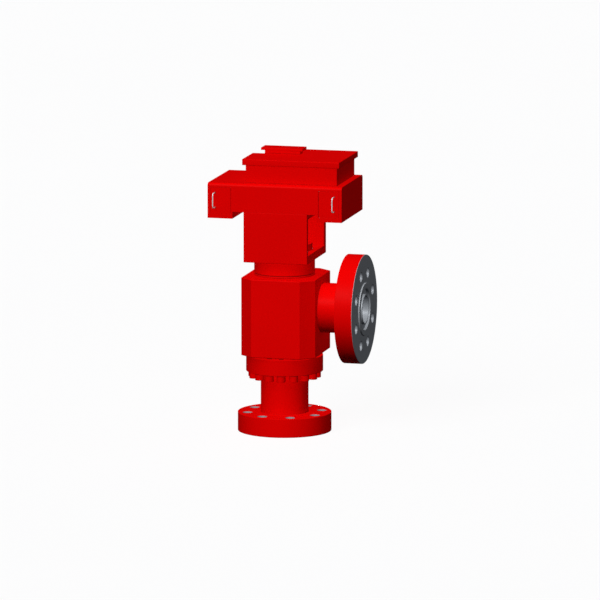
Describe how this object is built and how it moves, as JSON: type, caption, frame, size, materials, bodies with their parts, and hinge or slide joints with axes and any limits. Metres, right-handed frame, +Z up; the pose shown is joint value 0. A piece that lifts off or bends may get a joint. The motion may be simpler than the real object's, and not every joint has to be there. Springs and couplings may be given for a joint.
{
  "type": "drilling choke valve",
  "caption": "Motor-driven angle choke: side inlet flange, bottom outlet flange, octagonal body, yoke, T-shaped worm drive housing and control box; a rising stem throttles the flow.",
  "frame": {"origin": "centre of the outlet flange's lower face, on the stem axis", "axes": "+Z up along the stem axis, +X out of the inlet flange along its bore axis, +Y to the back; the doors and handles face -Y"},
  "size_m": [0.4368, 0.314, 0.816],
  "materials": {
    "red_paint": "satin red paint",
    "bright_steel": "bright machined steel",
    "trim_alloy": "ground hard alloy",
    "dark_casting": "oiled casting",
    "bronze": "machined bronze",
    "seal_rubber": "black seal",
    "motor_paint": "black motor enamel",
    "circuit_board": "green circuit board",
    "terminal_plastic": "moulded plastic",
    "sensor_case": "anodised",
    "plated_brass": "nickel plate"
  },
  "bodies": {
    "valve_frame": {"outlet_spool": "red_paint", "spool_screws": "red_paint", "spool_seal": "seal_rubber", "wear_sleeve": "trim_alloy", "body_block": "red_paint", "inlet_flange": "red_paint", "seat_ring": "trim_alloy", "seat_seal": "seal_rubber", "gate_guide": "bronze", "bonnet": "red_paint", "bonnet_seal": "seal_rubber", "packing_rings": "seal_rubber", "packing_gland": "red_paint", "gland_screws": "bright_steel", "guide_rod": "bright_steel", "yoke_frame": "red_paint", "yoke_bolts": "bright_steel", "base_plate": "dark_casting", "base_bolts": "bright_steel", "drive_housing": "red_paint", "housing_screws": "bright_steel", "left_end_cover": "red_paint", "right_end_cover": "red_paint", "left_door_stop": "seal_rubber", "right_door_stop": "seal_rubber", "lower_bush": "bronze", "upper_bush": "bronze", "left_worm_bearing": "dark_casting", "right_worm_bearing": "dark_casting", "left_motor": "motor_paint", "right_motor": "motor_paint", "control_box": "red_paint", "box_screws": "bright_steel", "control_gasket": "seal_rubber", "lid_hinge_pins": "bright_steel", "control_board": "circuit_board", "board_standoffs": "bright_steel", "terminal_strip": "terminal_plastic", "position_sensor": "sensor_case", "cable_glands": "plated_brass"},
    "drive_wheel": {"worm_wheel": "bronze", "drive_nut": "bronze"},
    "worm": {"worm_shaft": "bright_steel"},
    "rising_stem": {"stem": "bright_steel", "choke_gate": "trim_alloy", "torque_arm": "dark_casting", "clamp_screw": "bright_steel"},
    "left_door_set": {"left_door": "red_paint", "left_hinge_pins": "bright_steel", "left_handle": "bright_steel", "left_handle_nuts": "bright_steel"},
    "right_door_set": {"right_door": "red_paint", "right_hinge_pins": "bright_steel", "right_handle": "bright_steel", "right_handle_nuts": "bright_steel"},
    "lid_set": {"control_lid": "red_paint", "breather_box": "red_paint", "breather_cap": "red_paint"}
  },
  "joints": [
    {"name": "wheel_spin", "type": "hinge", "parent": "valve_frame", "child": "drive_wheel", "pos_m": [0, 0, 0.686], "axis": [0, 0, 1], "range_deg": [0, 900]},
    {"name": "worm_spin", "type": "hinge", "parent": "valve_frame", "child": "worm", "pos_m": [0, -0.075, 0.686], "axis": [1, 0, 0], "range_deg": [-28800, 0]},
    {"name": "stem_travel", "type": "slide", "parent": "valve_frame", "child": "rising_stem", "axis": [0, 0, 1], "range_m": [0, 0.05]},
    {"name": "left_door_hinge", "type": "hinge", "parent": "valve_frame", "child": "left_door_set", "pos_m": [-0.131, -0.1165, 0.679], "axis": [0, 0, 1], "range_deg": [0, 90]},
    {"name": "right_door_hinge", "type": "hinge", "parent": "valve_frame", "child": "right_door_set", "pos_m": [0.131, -0.1165, 0.679], "axis": [0, 0, -1], "range_deg": [0, 90]},
    {"name": "lid_hinge", "type": "hinge", "parent": "valve_frame", "child": "lid_set", "pos_m": [0.08, 0.1322, 0.784], "axis": [-1, 0, 0], "range_deg": [0, 95]}
  ],
  "couplings": [
    {"joint": "worm_spin", "follows": "wheel_spin", "ratio": -32},
    {"joint": "stem_travel", "follows": "wheel_spin", "m_per_rad": 0.0031831}
  ]
}
